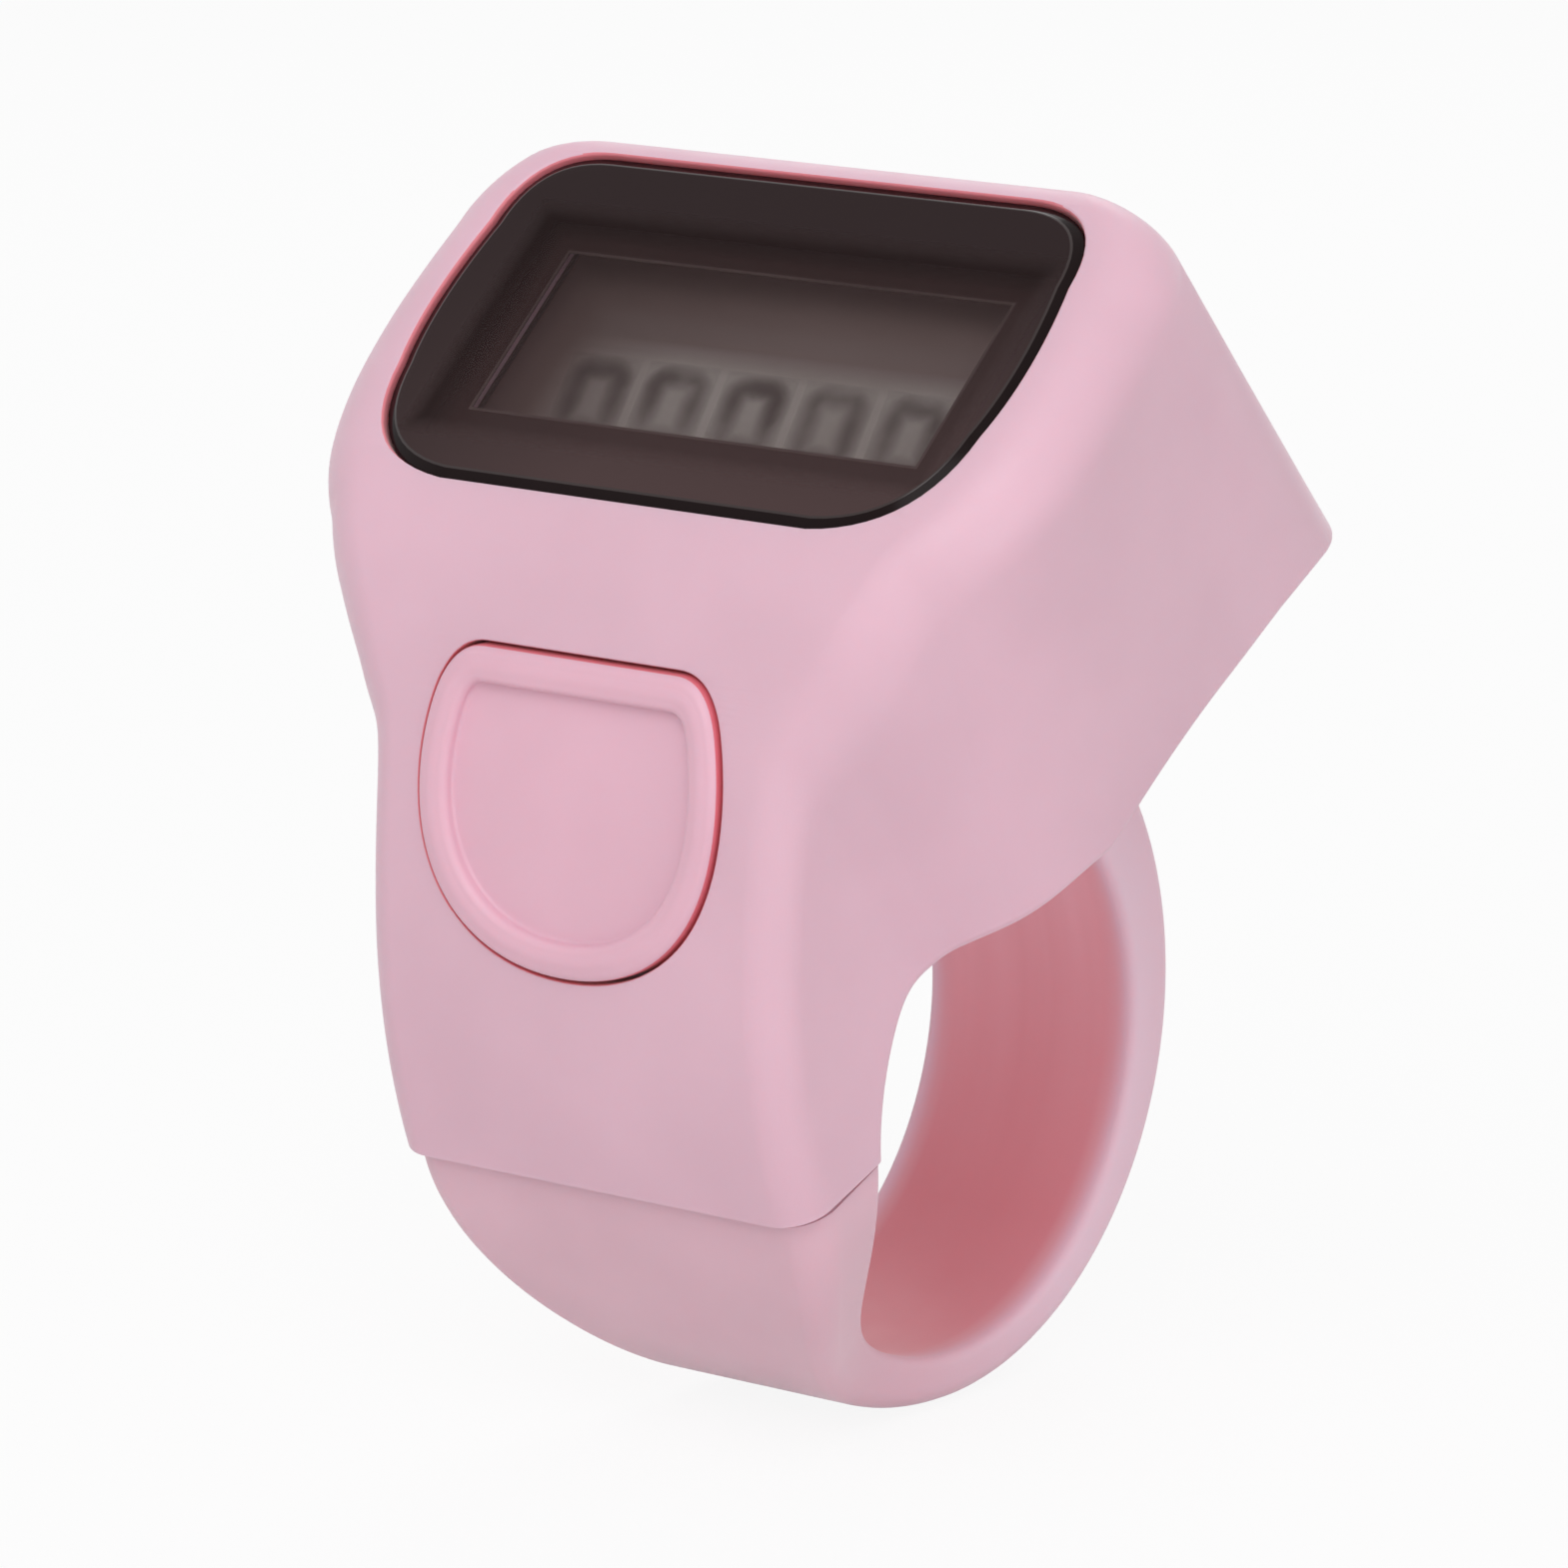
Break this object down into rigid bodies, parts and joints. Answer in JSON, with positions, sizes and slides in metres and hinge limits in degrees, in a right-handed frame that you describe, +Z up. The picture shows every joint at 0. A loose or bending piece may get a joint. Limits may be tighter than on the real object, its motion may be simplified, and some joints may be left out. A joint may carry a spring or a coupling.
{
  "type": "digital finger tally counter",
  "caption": "Hand tally counter worn on a finger: a sloping display in a wide head, one large count button on the front and a tapered ring band.",
  "frame": {"origin": "centre of the finger hole, on the mid-plane", "axes": "+X along the finger, out of the right side as the display is read; -Y towards the count button; +Z up, from the ring towards the head"},
  "size_m": [0.0298, 0.0283, 0.0418],
  "materials": {
    "pink_shell": "satin moulded plastic",
    "pink_band": "soft matt elastomer",
    "pink_button": "satin moulded plastic",
    "smoked_lens": "polished smoky acrylic",
    "adhesive": "matt double-sided tape",
    "display_film": "polarising film",
    "display_glass": "thin glass",
    "reflector": "silvered film",
    "white_plastic": "moulded",
    "elastomer": "matt",
    "board": "solder mask",
    "black_plastic": "moulded",
    "ceramic": "fired",
    "cell_steel": "nickel-plated",
    "contact_metal": "sheet, plated",
    "foam": "closed-cell foam",
    "ribbon": "polyimide film",
    "pin_steel": "ground",
    "screw_steel": "zinc-plated"
  },
  "bodies": {
    "counter": {"band_pin": "pin_steel", "base_cover": "pink_shell", "battery_minus_spring": "contact_metal", "battery_pad": "foam", "battery_plus_clip": "contact_metal", "board_screw_left": "screw_steel", "board_screw_right": "screw_steel", "cell_can": "cell_steel", "cell_cap": "cell_steel", "cell_seal": "elastomer", "chip_blob": "black_plastic", "chip_capacitor_1": "ceramic", "chip_capacitor_2": "ceramic", "chip_resistor": "black_plastic", "cover_screw_left": "screw_steel", "cover_screw_right": "screw_steel", "display_lens": "smoked_lens", "lcd_front_glass": "display_glass", "lcd_front_polariser": "display_film", "lcd_holder": "white_plastic", "lcd_rear_glass": "display_glass", "lcd_reflector": "reflector", "lens_tape": "adhesive", "main_board": "board", "ribbon_cable": "ribbon", "ring_band": "pink_band", "switch_base": "black_plastic", "switch_board": "board", "switch_plate": "cell_steel", "upper_housing": "pink_shell", "zebra_strip": "elastomer"},
    "button": {"count_button": "pink_button", "switch_plunger": "black_plastic"}
  },
  "joints": [
    {"name": "count_press", "type": "slide", "parent": "counter", "child": "button", "axis": [0, 1, 0], "range_m": [0, 0.0005], "stiffness_N_per_m": 1000, "springref_m": -0.0006}
  ]
}
